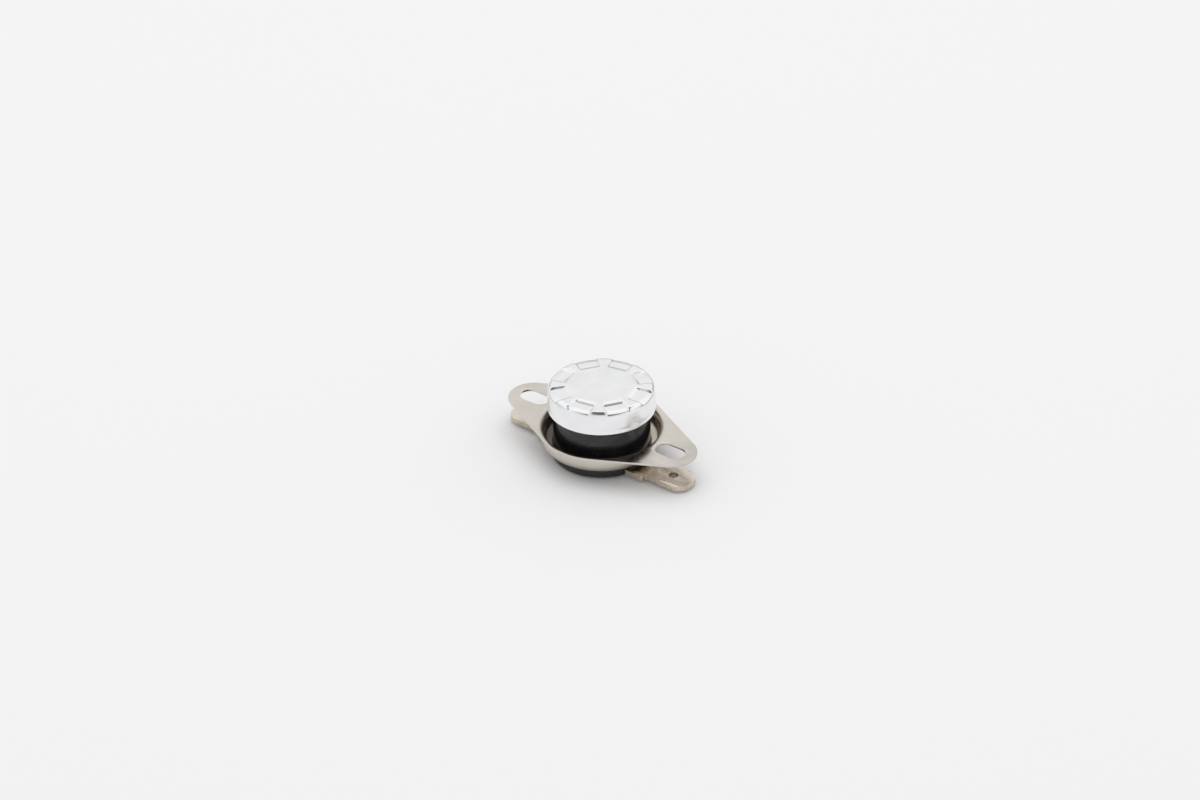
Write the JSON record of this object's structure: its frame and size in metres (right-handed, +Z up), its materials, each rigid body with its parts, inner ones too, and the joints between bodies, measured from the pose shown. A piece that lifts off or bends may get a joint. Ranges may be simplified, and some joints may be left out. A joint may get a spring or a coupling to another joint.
{
  "type": "bimetal thermostat",
  "caption": "Small round snap-action bimetal thermostat: stamped metal sensing cap on a black moulded case, blade terminals below, and a loose slotted bracket round its waist.",
  "frame": {"origin": "on the body's axis, in the plane that the two rivet feet stand on", "axes": "+X along the two blade terminals, +Z up the body's axis towards the sensing cap, +Y completes the right-handed set"},
  "size_m": [0.0332, 0.0192, 0.0117],
  "materials": {
    "cap_aluminium": "bright drawn and stamped aluminium, softly glossy",
    "case_phenolic": "smooth glossy black phenolic moulding",
    "bracket_nickel": "nickel plated sheet steel, warm grey, near mirror",
    "terminal_plating": "nickel plated brass strip, warm beige grey",
    "rivet_brass": "upset brass rivet",
    "disc_bimetal": "rolled bimetal sheet",
    "pin_ceramic": "opaque white steatite ceramic",
    "strip_brass": "folded brass strip",
    "arm_copper": "spring copper alloy leaf",
    "contact_silver": "silver contact rivet"
  },
  "bodies": {
    "case": {"base": "case_phenolic", "cap": "cap_aluminium", "guide_plate": "case_phenolic", "bimetal_disc": "disc_bimetal", "terminal_left": "terminal_plating", "terminal_right": "terminal_plating", "rivet_left": "rivet_brass", "rivet_right": "rivet_brass", "spring_carrier": "strip_brass", "fixed_contact_strip": "strip_brass", "fixed_contact": "contact_silver"},
    "bracket": {"bracket": "bracket_nickel"},
    "pin": {"push_pin": "pin_ceramic"},
    "arm": {"contact_arm": "arm_copper", "moving_contact": "contact_silver"}
  },
  "joints": [
    {"name": "bracket_turn", "type": "hinge", "parent": "case", "child": "bracket", "pos_m": [0, 0, 0.004], "axis": [0, 0, 1], "continuous": true},
    {"name": "pin_slide", "type": "slide", "parent": "case", "child": "pin", "axis": [0, 0, -1], "range_m": [0, 0.00035], "stiffness_N_per_m": 600, "deforming": ["bimetal_disc"]},
    {"name": "arm_flex", "type": "hinge", "parent": "case", "child": "arm", "pos_m": [0.0034, 0, 0.00507], "axis": [0, -1, 0], "range_deg": [0, 7]}
  ],
  "couplings": [
    {"joint": "arm_flex", "follows": "pin_slide", "rad_per_m": 345}
  ]
}
